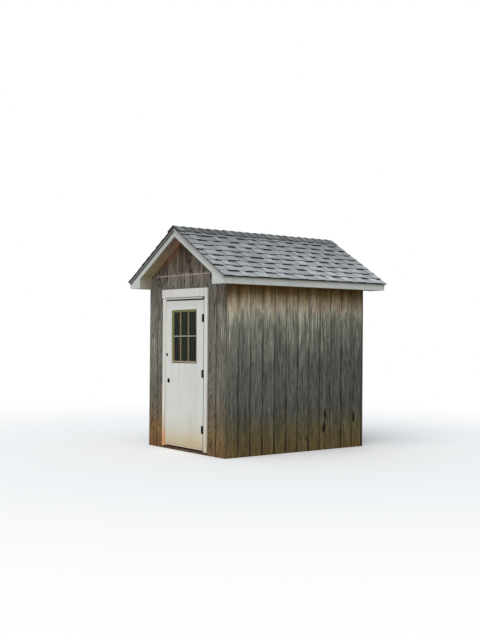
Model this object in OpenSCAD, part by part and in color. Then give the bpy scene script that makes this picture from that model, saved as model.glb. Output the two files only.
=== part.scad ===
// Small gabled wooden shed: grooved plywood siding over two-by-four framing,
// boxed eaves with closed returns, laminated shingles and one door that opens outward.
// Millimetres. The origin is at ground level in the middle of the floor,
// the front faces -Y, the ridge runs along Y and +Z is up.

/* [Walls] */
// Width of the front wall over its siding
wall_w = 1828.8; // [1700:0.1:2440]
// Length of the framed side walls, between the sheets of the two end walls
wall_l = 2438.4; // [1830:0.1:3660]
// Thickness of the siding sheets
siding_t = 15.9; // [11:0.1:19]
// Height of the seam between wall and gable sheets above the door's head casing
seam_rise = 196; // [60:1:400]
// Distance between the grooves of the siding
groove_pitch = 203.2; // [100:0.1:310]
// Width of a siding groove
groove_w = 9.5; // [6:0.5:14]
// Depth of a siding groove
groove_d = 5.5; // [3:0.5:8]
// Gap left between neighbouring siding sheets
sheet_gap = 1.5; // [0.5:0.1:3]
// Height of the flashing lip over the seam
flashing_h = 14; // [8:1:30]
// Thickness of the flashing
flashing_t = 1.5; // [1:0.1:3]

/* [Framing] */
// Thickness of a stud, plate or rafter
stud_t = 38.1; // [30:0.1:50]
// Depth of a stud, which is also the width of a plate
stud_d = 88.9; // [60:0.1:140]
// Spacing of studs and rafters
stud_pitch = 609.6; // [300:0.1:620]
// Depth of the door header
header_h = 88.9; // [80:0.1:150]
// Fitting gap between framing members
fit_gap = 0.5; // [0.2:0.1:0.8]
// Thickness of the floor boards' sleepers
sleeper_t = 25.4; // [19:0.1:38]
// Width of a floor sleeper
sleeper_w = 88.9; // [60:0.1:140]
// Thickness of the floor sheet
floor_t = 12.7; // [9:0.1:19]

/* [Roof] */
// Angle of the roof's slope
roof_angle = 31.3; // [20:0.01:40]
// Drop from the seam down to the lower edge of the fascia
eave_drop = 168; // [150:1:200]
// Distance from the side wall's siding to the face of the fascia
eave_overhang = 225; // [150:1:320]
// Distance from the end wall's siding to the face of the rake board
gable_overhang = 200; // [120:1:320]
// Depth of a rafter
rafter_d = 63.5; // [50:0.1:90]
// Bearing of a rafter's notch on the top plate
seat_l = 30; // [20:1:50]
// Clearance between layers that lie on the slope
slope_gap = 0.1; // [0.05:0.05:0.5]
// Thickness of the roof sheet
deck_t = 12.7; // [9:0.1:19]
// Height of the ridge board
ridge_h = 88.9; // [80:0.1:140]
// Thickness of white trim boards
trim_t = 19; // [12:0.5:25]
// Height of the fascia board
fascia_h = 89; // [80:1:120]
// Height of the rake board, measured square to the slope
rake_h = 105; // [95:1:130]
// Height of the shingle moulding on the rake
mould_h = 36; // [12:1:45]
// Projection of the shingle moulding from the rake board
mould_t = 11; // [6:1:20]
// Distance the closed return reaches inside the corner of the wall
return_in = 35; // [20:1:80]
// Thickness of the return's inner cheek
cheek_t = 12; // [9:1:19]
// Thickness of the soffit sheets
soffit_t = 6.4; // [4:0.1:12]
// Recess of the eave soffit above the fascia's lower edge
soffit_up = 5; // [2:1:12]

/* [Shingles] */
// Exposed length of a shingle course
course_l = 143; // [120:1:160]
// Thickness of the shingles at the butt of a course
shingle_t = 15; // [8:0.5:18]
// Thickness of the shingles at the head of a course
shingle_head = 6; // [3:0.5:7]
// Projection of the shingles past the fascia
shingle_lip = 30; // [15:1:45]
// Projection of the shingles past the shingle moulding
shingle_side = 12; // [5:1:30]
// Exposed length of a ridge cap
cap_l = 140; // [110:1:180]
// Reach of a ridge cap down each slope
cap_reach = 140; // [110:1:170]
// Thickness of a ridge cap at its exposed end
cap_t = 9; // [6:0.5:12]
// Thickness of a ridge cap where the next one covers it
cap_head = 4; // [3:0.5:5]

/* [Door] */
// Width of the door leaf
door_w = 914.4; // [760:0.1:920]
// Height of the door leaf
door_h = 2004; // [1950:1:2034]
// Thickness of the door leaf
door_t = 44.5; // [35:0.5:50]
// Sideways place of the door's middle
door_off = -18; // [-40:1:40]
// Height of the door's lower edge above the sill
door_lift = 18; // [6:1:25]
// Projection of the leaf and the jambs from the face of the siding
door_proud = 10; // [0:0.5:12]
// Gap at each side of the leaf
door_gap = 5; // [5:0.5:7]
// Gap above the leaf
door_top_gap = 14; // [5:0.5:16]
// Thickness of the jambs
jamb_t = 19; // [16:0.5:32]
// Thickness of the stop left by the rabbet in the jambs
stop_t = 13; // [8:0.5:20]
// Gap between the closed leaf and the stop
stop_gap = 5; // [5:0.5:8]
// Clearance between the jambs and the wall framing
shim_gap = 2; // [0.5:0.5:8]
// Width of the side casing by the latch
casing_w = 48; // [40:1:90]
// Width of the side casing by the hinges
hinge_casing_w = 63; // [40:1:90]
// Height of the head casing
head_casing_h = 118; // [80:1:130]
// Reach of the head casing past the side casing by the latch
head_casing_lap = 24; // [0:1:40]
// Thickness of the casings
casing_t = 17; // [13:0.5:19]
// Open joint between the head jamb and the head casing
casing_joint = 3; // [1:0.5:6]
// Radius of the bored hole for the missing knob
lock_bore_r = 27; // [20:0.5:28]
// Distance from the leaf's edge to the middle of the bored hole
lock_backset = 73; // [55:0.5:75]
// Height of the bored hole above the leaf's lower edge
lock_h = 890; // [850:1:1000]
// Radius of the small domed latch plate
latch_r = 17; // [12:0.5:22]
// Projection of the latch plate
latch_t = 8; // [5:0.5:12]
// Height of the grip on the latch plate
latch_grip_h = 9; // [4:0.5:15]
// Width of the grip on the latch plate
latch_grip_w = 6; // [4:0.5:10]
// Distance from the leaf's edge to the middle of the latch plate
latch_backset = 38; // [22:0.5:50]
// Height of the latch plate above the leaf's lower edge
latch_h = 1250; // [1150:1:1400]
// Length of the latch's tongue
latch_tongue = 24; // [18:1:30]
// Width of the latch's tongue
latch_tongue_w = 9; // [8:1:16]
// Angle of the latch's tongue over the level
latch_turn = 40; // [0:5:90]

/* [Door window] */
// Width of the opening cut in the leaf
window_w = 609; // [400:1:630]
// Height of the opening cut in the leaf
window_h = 731; // [500:1:760]
// Distance from the leaf's top edge down to the opening
window_drop = 131; // [100:1:300]
// Sideways place of the window's middle from the leaf's
window_off = -12; // [-40:1:40]
// Angle by which the window is set askew in the leaf
window_skew = 0.8; // [0:0.1:1.5]
// Width of the window frame's face
frame_w = 30; // [20:1:50]
// Depth of the frame behind each face of the leaf
frame_inset = 10; // [0:0.5:12]
// Thickness of the glass
glass_t = 5; // [3:0.5:8]
// Depth of the glass in its rebate
glass_bite = 7; // [4:0.5:9]

/* [Hinges] */
// Length of a butt hinge
hinge_l = 102; // [76:1:120]
// Distance from the leaf's top edge to the middle of the top hinge
hinge_top_inset = 249; // [180:1:320]
// Distance from the leaf's bottom edge to the middle of the bottom hinge
hinge_low_inset = 273; // [180:1:320]
// Outer radius of a hinge knuckle
knuckle_r = 8; // [5:0.1:9]
// Radius of the hinge pin
pin_r = 3.2; // [2:0.1:4]
// Running clearance round the pin
pin_fit = 0.06; // [0.02:0.01:0.1]
// Clearance between a knuckle and the door's face
knuckle_gap = 0.5; // [0.3:0.1:2]
// Thickness of a hinge plate
plate_t = 2.4; // [1.5:0.1:3]
// Depth of a hinge plate into the door's edge
plate_d = 30; // [20:1:36]
// Radius of a pin's head
pin_head_r = 5; // [4:0.1:6]
// Height of a pin's head
pin_head_h = 4; // [2:0.5:6]

/* [Damage] */
// Width of the splits in the boards of the right wall
split_w = 30; // [10:1:60]
// Length of the splits
split_l = 155; // [60:1:180]
// Height of the lowest split's lower end
split_low = 240; // [100:1:600]

/* [Hidden] */

SMOOTH = 48;
KNUCKLES = 5;
SLICE = 0.01;

// Outline of a split, as shares of its width and length
SPLIT = [
    [0, 0], [0.3, 0.15], [0.2, 0.36], [0.5, 0.52], [0.2, 0.7],
    [0.1, 1], [-0.15, 0.74], [-0.1, 0.58], [-0.5, 0.42], [-0.2, 0.22]
];
// Splits of the right wall: place along the wall, rise over the lowest one and share of its width
SPLITS = [[486, 0, 1], [500, 172, 0.7], [1050, 112, 0.8]];

// Roof slope
slope = tan(roof_angle);

// Faces of the walls
wall_x = wall_w / 2;
frame_x = wall_x - siding_t;
room_x = frame_x - stud_d;
frame_y = wall_l / 2;
room_y = frame_y - stud_d;
wall_y = frame_y + siding_t;

// Door opening
leaf_l = door_off - door_w / 2;
leaf_r = door_off + door_w / 2;
leaf_low = stud_t + door_lift;
leaf_top = leaf_low + door_h;
open_half = door_w / 2 + door_gap;
face_y = -wall_y - door_proud;
head_low = leaf_top + door_top_gap;
jamb_half = open_half + jamb_t;
jamb_top = head_low + jamb_t;
rough_half = jamb_half + shim_gap;
rough_top = jamb_top + shim_gap;
casing_low = jamb_top + casing_joint;
leaf_back = face_y + door_t;
stop_y = leaf_back + stop_gap;
joint_l = groove_at(floor((door_off - rough_half + wall_x) / groove_pitch));
joint_r = groove_at(ceil((door_off + rough_half + wall_x) / groove_pitch));

// Heights stacked over the door
seam_h = casing_low + head_casing_h + seam_rise;
eave_h = seam_h - eave_drop;

// Edges of the roof
fascia_x = wall_x + eave_overhang;
rake_y = wall_y + gable_overhang;
deck_x = fascia_x + shingle_lip / 3;
deck_y = rake_y - trim_t;
shingle_y = rake_y + mould_t + shingle_side;
ridge_half = trim_t / 2;
apex_h = eave_h + fascia_h + slope * fascia_x + (deck_t + slope_gap) / cos(roof_angle);
return_x = wall_x - return_in;

// Layers of the roof, measured down from the top of the roof sheet and square to it
under_deck = deck_t + slope_gap;
rafter_low = under_deck + rafter_d;
gable_soffit_top = rafter_low + slope_gap;
gable_soffit_low = gable_soffit_top + soffit_t;
under_soffit = gable_soffit_low + slope_gap;
under_rake = rake_h + slope_gap;

// Levels of the frame, whose plates are set to the whole millimetre
ridge_top = roof_z(ridge_half, under_deck);
soffit_low = eave_h + soffit_up;
plate_top = floor(roof_z(frame_x - seat_l, rafter_low));
stud_top = plate_top - stud_t;
side_siding_top = roof_z(wall_x, rafter_low) - sheet_gap;
floor_h = sleeper_t + floor_t;

// Hinge axis and hinge heights
pin_x = leaf_r + door_gap / 2;
pin_out = knuckle_r + knuckle_gap;
pin_y = face_y - pin_out;
low_hinge = leaf_low + hinge_low_inset;
top_hinge = leaf_top - hinge_top_inset;
hinge_z = [low_hinge, (low_hinge + top_hinge) / 2, top_hinge];
knuckle_l = hinge_l / KNUCKLES;

// Window in the leaf
window_z = leaf_top - window_drop - window_h / 2;
glass_y = face_y + door_t / 2;

// Height of the roof at x, a distance down from the top of the roof sheet, square to it
function roof_z(x, down) = apex_h - slope * abs(x) - down / cos(roof_angle);

// Middle of groove i across the front or back wall
function groove_at(i) = i * groove_pitch - wall_x;

// A flat shape drawn in X and Z, carried from y0 to y1
module along_y(y0, y1) {
    translate([0, y1, 0])
        rotate([90, 0, 0])
            linear_extrude(y1 - y0)
                children();
}

// A box given by its lowest and highest corners
module block(low, high) {
    translate(low)
        cube(high - low);
}

// Its children, and their mirror image on the left side
module both_sides() {
    children();
    mirror([1, 0, 0])
        children();
}

// Its children, and their mirror image at the back
module both_ends() {
    children();
    mirror([0, 1, 0])
        children();
}

// Outline of a layer of the right slope between x0 and x1, from d0 down to d1
module roof_layer(x0, x1, d0, d1) {
    polygon([
        [x0, roof_z(x0, d1)],
        [x1, roof_z(x1, d1)],
        [x1, roof_z(x1, d0)],
        [x0, roof_z(x0, d0)]
    ]);
}

// Positions of members at the stud spacing, with one at each end of a wall
function stud_rows(half) =
    let (last = half - stud_t / 2, n = ceil(2 * last / stud_pitch - 0.2))
    [for (i = [0 : n]) -last + i * 2 * last / n];

// Floor

module floor_sleepers() {
    color("#7d6a4b")
        for (y = stud_rows(room_y - fit_gap - (sleeper_w - stud_t) / 2))
            block([-room_x + fit_gap, y - sleeper_w / 2, 0],
                [room_x - fit_gap, y + sleeper_w / 2, sleeper_t]);
}

module floor_sheet() {
    color("#a98c5f")
        block([-room_x + fit_gap, -room_y + fit_gap, sleeper_t],
            [room_x - fit_gap, room_y - fit_gap, floor_h]);
}

module bottom_plates() {
    color("#8b7450") {
        both_sides()
            block([room_x, -frame_y, 0], [frame_x, frame_y, stud_t]);
        block([-room_x + fit_gap, room_y, 0], [room_x - fit_gap, frame_y, stud_t]);
        block([-room_x + fit_gap, -frame_y, 0],
            [door_off - rough_half - fit_gap, -room_y, stud_t]);
        block([door_off + rough_half + fit_gap, -frame_y, 0],
            [room_x - fit_gap, -room_y, stud_t]);
    }
}

module door_sill() {
    color("#5f4936")
        block([door_off - rough_half, -wall_y, 0],
            [door_off + rough_half, -room_y, stud_t]);
}

// Wall framing

module side_studs() {
    for (y = stud_rows(frame_y))
        block([room_x, y - stud_t / 2, stud_t], [frame_x, y + stud_t / 2, stud_top]);
}

module right_wall_studs() {
    color("#b8966a")
        side_studs();
}

module left_wall_studs() {
    color("#b8966a")
        mirror([1, 0, 0])
            side_studs();
}

// A stud of the front wall, standing with its left face at x
module front_stud(x, z0, z1) {
    block([x, -frame_y, z0], [x + stud_t, -room_y, z1]);
}

// Short studs that carry a gable sheet under the end rafters
module gable_studs() {
    for (x = [-stud_pitch, 0, stud_pitch])
        along_y(-frame_y, -frame_y + stud_t)
            polygon([
                [x - stud_t / 2, plate_top],
                [x + stud_t / 2, plate_top],
                [x + stud_t / 2, gable_stud_top(x)],
                [x - stud_t / 2, gable_stud_top(x)]
            ]);
}

// A gable stud stops under the rafter, or under the ridge board in the middle
function gable_stud_top(x) =
    x == 0 ? ridge_top - ridge_h : roof_z(abs(x) + stud_t / 2, rafter_low);

module front_wall_studs() {
    color("#b8966a") {
        front_stud(-room_x + fit_gap, stud_t, stud_top);
        front_stud(room_x - fit_gap - stud_t, stud_t, stud_top);
        front_stud(door_off - rough_half - stud_t, stud_t, rough_top);
        front_stud(door_off + rough_half, stud_t, rough_top);
        front_stud(door_off - rough_half - 2 * stud_t - fit_gap, stud_t, stud_top);
        front_stud(door_off + rough_half + stud_t + fit_gap, stud_t, stud_top);
        for (side = [-1, 1])
            front_stud(door_off + side * rough_half / 2 - stud_t / 2,
                rough_top + header_h, stud_top);
        gable_studs();
    }
}

module back_wall_studs() {
    color("#b8966a")
        mirror([0, 1, 0]) {
            for (x = stud_rows(room_x - fit_gap))
                front_stud(x - stud_t / 2, stud_t, stud_top);
            gable_studs();
        }
}

module top_plates() {
    color("#b8966a") {
        both_sides()
            block([room_x, -frame_y, stud_top], [frame_x, frame_y, plate_top]);
        both_ends()
            block([-room_x + fit_gap, -frame_y, stud_top],
                [room_x - fit_gap, -room_y, plate_top]);
    }
}

module door_header() {
    color("#b8966a")
        block([door_off - rough_half - stud_t, -frame_y, rough_top],
            [door_off + rough_half + stud_t, -room_y, rough_top + header_h]);
}

// Roof framing

// A rafter from x0 to the fascia, with its tail cut level over the eave soffit
module rafter_outline(x0) {
    intersection() {
        roof_layer(x0, fascia_x - trim_t, under_deck, rafter_low);
        translate([0, soffit_low + soffit_t])
            square([fascia_x, apex_h]);
    }
}

// A rafter against the ridge board, notched over the top plate
module notched_rafter_outline() {
    difference() {
        rafter_outline(ridge_half);
        square([frame_x, plate_top]);
    }
}

module rafters() {
    color("#b8966a")
        both_sides() {
            for (y = stud_rows(frame_y))
                along_y(y - stud_t / 2, y + stud_t / 2)
                    notched_rafter_outline();
            both_ends()
                along_y(-deck_y, -deck_y + stud_t)
                    rafter_outline(fit_gap);
        }
}

module ridge_board() {
    color("#b8966a")
        block([-ridge_half, -frame_y, ridge_top - ridge_h], [ridge_half, frame_y, ridge_top]);
}

// Siding

// Grooves across a wall that spans from -half to half, cut into its outer face
module grooves(half, face, top) {
    for (u = [-half + groove_pitch : groove_pitch : half - groove_pitch / 2])
        block([u - groove_w / 2, -face - SLICE, -SLICE],
            [u + groove_w / 2, -face + groove_d, top]);
}

// Outline of an end wall, up to the roof sheets
module wall_outline() {
    polygon([
        [-wall_x, 0],
        [wall_x, 0],
        [wall_x, roof_z(wall_x, under_deck)],
        [0, roof_z(0, under_deck)],
        [-wall_x, roof_z(wall_x, under_deck)]
    ]);
}

// A grooved sheet of the front wall: the part of the wall inside the shape drawn in X and Z
module front_sheet() {
    difference() {
        along_y(-wall_y, -frame_y)
            intersection() {
                wall_outline();
                children();
            }
        grooves(wall_x, wall_y, apex_h);
    }
}

// The part of an end wall above the seam
module gable_sheet() {
    front_sheet()
        translate([-wall_x, seam_h + sheet_gap])
            square([wall_w, apex_h]);
}

// Two grooved sheets of the right wall, which meet at the middle groove
module side_sheets() {
    middle = round(frame_y / groove_pitch) * groove_pitch - frame_y;
    rotate([0, 0, 90])
        difference() {
            union() {
                block([-frame_y + SLICE, -wall_x, 0],
                    [middle - sheet_gap / 2, -frame_x, side_siding_top]);
                block([middle + sheet_gap / 2, -wall_x, 0],
                    [frame_y - SLICE, -frame_x, side_siding_top]);
            }
            grooves(frame_y, wall_x, apex_h);
        }
}

// The splits in the right wall, cut through its siding
module splits() {
    for (place = SPLITS)
        translate([frame_x - SLICE, place[0], split_low + place[1]])
            rotate([90, 0, 90])
                linear_extrude(siding_t + 2 * SLICE)
                    polygon([for (p = SPLIT) [p[0] * place[2] * split_w, p[1] * split_l]]);
}

module right_wall_siding() {
    color("#57503f")
        difference() {
            side_sheets();
            splits();
        }
}

module left_wall_siding() {
    color("#57503f")
        mirror([1, 0, 0])
            side_sheets();
}

// Outline of the sheet beside the door's right jamb
module door_side_outline() {
    polygon([
        [door_off + rough_half, 0],
        [wall_x, 0],
        [wall_x, seam_h],
        [joint_r + sheet_gap / 2, seam_h],
        [joint_r + sheet_gap / 2, rough_top],
        [door_off + rough_half, rough_top]
    ]);
}

module front_siding_right() {
    color("#6a6257")
        front_sheet()
            door_side_outline();
}

module front_siding_left() {
    color("#6a6257")
        front_sheet()
            polygon([
                [-wall_x, 0],
                [door_off - rough_half, 0],
                [door_off - rough_half, rough_top],
                [joint_l - sheet_gap / 2, rough_top],
                [joint_l - sheet_gap / 2, seam_h],
                [-wall_x, seam_h]
            ]);
}

module front_siding_over_door() {
    color("#6a6257")
        front_sheet()
            translate([joint_l + sheet_gap / 2, rough_top + sheet_gap])
                square([joint_r - joint_l - sheet_gap, seam_h - rough_top - sheet_gap]);
}

module front_gable_siding() {
    color("#6a6257")
        gable_sheet();
}

// The back wall has no opening: its two sheets meet at the middle groove
module back_wall_siding() {
    middle = groove_at(round(wall_x / groove_pitch));
    color("#57503f")
        mirror([0, 1, 0])
            front_sheet()
                difference() {
                    translate([-wall_x, 0])
                        square([wall_w, seam_h]);
                    translate([middle - sheet_gap / 2, 0])
                        square([sheet_gap, seam_h]);
                }
}

module back_gable_siding() {
    color("#57503f")
        mirror([0, 1, 0])
            gable_sheet();
}

// The flashing ends where the gable soffit or the eave return comes down over it
module seam_flashing() {
    top = seam_h + sheet_gap;
    soffit_x = (roof_z(0, under_soffit) - top) / slope;
    half = min(return_x, soffit_x) - fit_gap;
    color("#a89f92")
        both_ends()
            block([-half, -wall_y - flashing_t, seam_h - flashing_h], [half, -wall_y, top]);
}

// Roof covering

module roof_sheet_right() {
    color("#9c8257")
        along_y(-deck_y, deck_y)
            roof_layer(fit_gap / 2, deck_x, 0, deck_t);
}

module roof_sheet_left() {
    color("#9c8257")
        mirror([1, 0, 0])
            along_y(-deck_y, deck_y)
                roof_layer(fit_gap / 2, deck_x, 0, deck_t);
}

// Stepped outline of the shingle courses on the right slope, built up from the eave
module course_outline() {
    low_x = fascia_x + shingle_lip;
    step_x = course_l * cos(roof_angle);
    n = ceil(low_x / step_x) - 1;
    polygon([
        [fit_gap / 2, roof_z(fit_gap / 2, -slope_gap)],
        [low_x, roof_z(low_x, -slope_gap)],
        for (i = [0 : n])
            let (butt = low_x - i * step_x, head = max(fit_gap / 2, butt - step_x))
            each [
                [butt, roof_z(butt, -shingle_t)],
                [head, roof_z(head, -shingle_head)]
            ]
    ]);
}

module shingles_right() {
    color("#8f9296")
        along_y(-shingle_y, shingle_y)
            course_outline();
}

module shingles_left() {
    color("#8f9296")
        mirror([1, 0, 0])
            along_y(-shingle_y, shingle_y)
                course_outline();
}

// Overlapping ridge caps, seen square to one slope: each laps over the next one back
module cap_profile() {
    n = round(2 * shingle_y / cap_l);
    run = 2 * shingle_y / n;
    polygon([
        [shingle_y, shingle_t + slope_gap],
        [-shingle_y, shingle_t + slope_gap],
        for (i = [0 : n - 1])
            let (y = -shingle_y + i * run)
            each [
                [y, shingle_t + cap_t],
                [y + run, shingle_t + cap_head]
            ]
    ]);
}

// One slope of the ridge caps, cut off plumb at the ridge
module cap_side() {
    intersection() {
        translate([0, 0, apex_h])
            rotate([0, roof_angle, 0])
                rotate([90, 0, 90])
                    translate([0, 0, -cap_reach])
                        linear_extrude(2 * cap_reach)
                            cap_profile();
        block([0, -shingle_y, 0], [cap_reach, shingle_y, 2 * apex_h]);
    }
}

module ridge_caps() {
    color("#86898d")
        both_sides()
            cap_side();
}

// Eaves and rakes

module fascia() {
    along_y(-deck_y, deck_y)
        polygon([
            [fascia_x - trim_t, eave_h],
            [fascia_x, eave_h],
            [fascia_x, roof_z(fascia_x, under_deck)],
            [fascia_x - trim_t, roof_z(fascia_x - trim_t, under_deck)]
        ]);
}

module fascia_right() {
    color("#e6e6e2")
        fascia();
}

module fascia_left() {
    color("#e6e6e2")
        mirror([1, 0, 0])
            fascia();
}

// Rake board of the right slope, mitred at the ridge and cut level at the eave
module rake_outline() {
    intersection() {
        roof_layer(fit_gap / 2, fascia_x, 0, rake_h);
        translate([0, eave_h])
            square([fascia_x, apex_h - eave_h]);
    }
}

module rake_pair() {
    both_sides()
        along_y(-rake_y, -deck_y)
            rake_outline();
}

module front_rake_boards() {
    color("#e2e3de")
        rake_pair();
}

module back_rake_boards() {
    color("#e2e3de")
        mirror([0, 1, 0])
            rake_pair();
}

// Narrow moulding under the shingles' edge, lapped on the rake board
module rake_mouldings() {
    color("#d9dad6")
        both_ends()
            both_sides()
                along_y(-rake_y - mould_t, -rake_y)
                    roof_layer(fit_gap / 2, fascia_x, 0, mould_h);
}

// Closed end of an eave: a face under the rake board and a cheek back to the wall
module eave_return() {
    tail_x = (roof_z(0, under_rake) - eave_h) / slope;
    union() {
        along_y(-rake_y, -deck_y + SLICE)
            polygon([
                [return_x, eave_h],
                [tail_x, eave_h],
                [return_x, roof_z(return_x, under_rake)]
            ]);
        along_y(-deck_y, -wall_y)
            polygon([
                [return_x, eave_h],
                [return_x + cheek_t, eave_h],
                [return_x + cheek_t, roof_z(return_x + cheek_t, under_soffit)],
                [return_x, roof_z(return_x, under_soffit)]
            ]);
    }
}

module eave_returns() {
    color("#dcdcd6")
        both_ends()
            both_sides()
                eave_return();
}

// Level soffit under the eave, widened in front of the wall to close the returns
module eave_soffits() {
    top = soffit_low + soffit_t;
    end = deck_y - fit_gap;
    color("#8c6f4c")
        both_sides() {
            block([wall_x, -end, soffit_low], [fascia_x - trim_t, end, top]);
            both_ends()
                block([return_x + cheek_t, -end, soffit_low], [wall_x + SLICE, -wall_y, top]);
        }
}

// Sloping soffit under the gable overhang
module gable_soffits() {
    color("#77683f")
        both_ends()
            both_sides()
                along_y(-deck_y, -wall_y)
                    roof_layer(fit_gap / 2, return_x + cheek_t,
                        gable_soffit_top, gable_soffit_low);
}

// Door frame

// Pocket for a hinge plate in the face at x, cut towards dir
module hinge_pockets(x, dir) {
    for (z = hinge_z)
        translate([x - (dir < 0 ? plate_t : 0), face_y - SLICE, z - hinge_l / 2])
            cube([plate_t, plate_d + SLICE, hinge_l]);
}

// Section of a side jamb on the right, with the rabbet that forms the stop
module jamb_section() {
    polygon([
        [open_half, face_y],
        [jamb_half, face_y],
        [jamb_half, -room_y],
        [open_half - stop_t, -room_y],
        [open_half - stop_t, stop_y],
        [open_half, stop_y]
    ]);
}

module door_side_jambs() {
    color("#dfe0dc")
        difference() {
            translate([door_off, 0, stud_t])
                both_sides()
                    linear_extrude(head_low - stud_t)
                        jamb_section();
            hinge_pockets(door_off + open_half, 1);
        }
}

module door_head_jamb() {
    color("#dfe0dc")
        translate([door_off - jamb_half, 0, 0])
            rotate([90, 0, 90])
                linear_extrude(2 * jamb_half)
                    polygon([
                        [face_y, head_low],
                        [face_y, jamb_top],
                        [-room_y, jamb_top],
                        [-room_y, head_low]
                    ]);
}

module door_side_casings() {
    color("#e4e4e0")
        translate([door_off, 0, 0]) {
            block([-jamb_half - casing_w, -wall_y - casing_t, stud_t],
                [-jamb_half, -wall_y, casing_low]);
            block([jamb_half, -wall_y - casing_t, stud_t],
                [jamb_half + hinge_casing_w, -wall_y, casing_low]);
        }
}

module door_head_casing() {
    color("#e4e4e0")
        translate([door_off, 0, casing_low])
            block([-jamb_half - casing_w - head_casing_lap, -wall_y - casing_t, 0],
                [jamb_half + hinge_casing_w, -wall_y, head_casing_h]);
}

// Door

// A rectangle centred on the window, less than its outer size by inset on each side
module window_shape(inset) {
    translate([door_off + window_off, window_z])
        rotate(window_skew)
            square([window_w - 2 * inset, window_h - 2 * inset], center = true);
}

module door_leaf() {
    color("#dcdedb")
        difference() {
            block([leaf_l, face_y, leaf_low], [leaf_r, leaf_back, leaf_top]);
            along_y(face_y - SLICE, leaf_back + SLICE)
                window_shape(0);
            translate([leaf_l + lock_backset, leaf_back + SLICE, leaf_low + lock_h])
                rotate([90, 0, 0])
                    cylinder(r = lock_bore_r, h = door_t + 2 * SLICE, $fn = SMOOTH);
            hinge_pockets(leaf_r, -1);
        }
}

// One half of the window's frame, fitted in the opening, with a rebate for the glass
module frame_half() {
    difference() {
        along_y(face_y + frame_inset, glass_y)
            window_shape(0);
        along_y(face_y, glass_y + SLICE)
            window_shape(frame_w);
        along_y(glass_y - glass_t / 2, glass_y + SLICE)
            window_shape(frame_w - glass_bite);
    }
}

module window_frame_outer() {
    color("#6f6848")
        frame_half();
}

module window_frame_inner() {
    color("#6f6848")
        translate([0, 2 * glass_y, 0])
            mirror([0, 1, 0])
                frame_half();
}

module window_glass() {
    color("#30363a")
        along_y(glass_y - glass_t / 2, glass_y + glass_t / 2)
            window_shape(frame_w - glass_bite + fit_gap / 2);
}

module door_latch() {
    color("#4a4a4a")
        translate([leaf_l + latch_backset, face_y, leaf_low + latch_h])
            rotate([90, 0, 0])
                union() {
                    rotate_extrude($fn = SMOOTH)
                        polygon([
                            [0, 0],
                            [latch_r, 0],
                            [latch_r, latch_t / 3],
                            [latch_r - latch_t / 2, latch_t],
                            [0, latch_t]
                        ]);
                    rotate([0, 0, -latch_turn]) {
                        translate([-latch_tongue, -latch_tongue_w / 2, 0])
                            cube([latch_tongue, latch_tongue_w, latch_t / 2]);
                        translate([-latch_r / 2, -latch_grip_w / 2, latch_t / 2])
                            cube([latch_r, latch_grip_w, latch_t / 2 + latch_grip_h]);
                    }
                }
}

// Hinges

// One hinge plate on the side given by dir, with every second knuckle from the first given
module hinge_half(first, dir) {
    difference() {
        union() {
            translate([dir > 0 ? door_gap / 2 : -door_gap / 2 - plate_t, pin_out, -hinge_l / 2])
                cube([plate_t, plate_d, hinge_l]);
            for (i = [first : 2 : KNUCKLES - 1])
                translate([0, 0, -hinge_l / 2 + i * knuckle_l + fit_gap / 2]) {
                    cylinder(r = knuckle_r, h = knuckle_l - fit_gap, $fn = SMOOTH);
                    translate([dir > 0 ? door_gap / 2 : -door_gap / 2 - plate_t, 0, 0])
                        cube([plate_t, pin_out + SLICE, knuckle_l - fit_gap]);
                }
        }
        translate([0, 0, -hinge_l])
            cylinder(r = pin_r + pin_fit, h = 2 * hinge_l, $fn = SMOOTH);
    }
}

module hinge_jamb_plates() {
    color("#26231f")
        for (z = hinge_z)
            translate([pin_x, pin_y, z])
                hinge_half(0, 1);
}

module hinge_door_plates() {
    color("#26231f")
        for (z = hinge_z)
            translate([pin_x, pin_y, z])
                hinge_half(1, -1);
}

module hinge_pins() {
    color("#26231f")
        for (z = hinge_z)
            translate([pin_x, pin_y, z - hinge_l / 2]) {
                cylinder(r = pin_r, h = hinge_l, $fn = SMOOTH);
                translate([0, 0, hinge_l])
                    cylinder(r = pin_head_r, h = pin_head_h, $fn = SMOOTH);
            }
}

floor_sleepers();
floor_sheet();
bottom_plates();
door_sill();
left_wall_studs();
right_wall_studs();
front_wall_studs();
back_wall_studs();
top_plates();
door_header();
rafters();
ridge_board();
left_wall_siding();
right_wall_siding();
back_wall_siding();
back_gable_siding();
front_siding_left();
front_siding_right();
front_siding_over_door();
front_gable_siding();
seam_flashing();
roof_sheet_left();
roof_sheet_right();
shingles_left();
shingles_right();
ridge_caps();
fascia_left();
fascia_right();
front_rake_boards();
back_rake_boards();
rake_mouldings();
eave_returns();
eave_soffits();
gable_soffits();
door_side_jambs();
door_head_jamb();
door_side_casings();
door_head_casing();
door_leaf();
window_frame_outer();
window_frame_inner();
window_glass();
door_latch();
hinge_jamb_plates();
hinge_door_plates();
hinge_pins();
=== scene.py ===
"""Looks of the small gabled wooden shed: weathered grooved siding, white painted trim and door,
laminated shingles. Lengths are metres and colours are linear, in the frame of the CAD model."""

import math
import random

import bpy
from mathutils import Matrix, Vector


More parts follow.
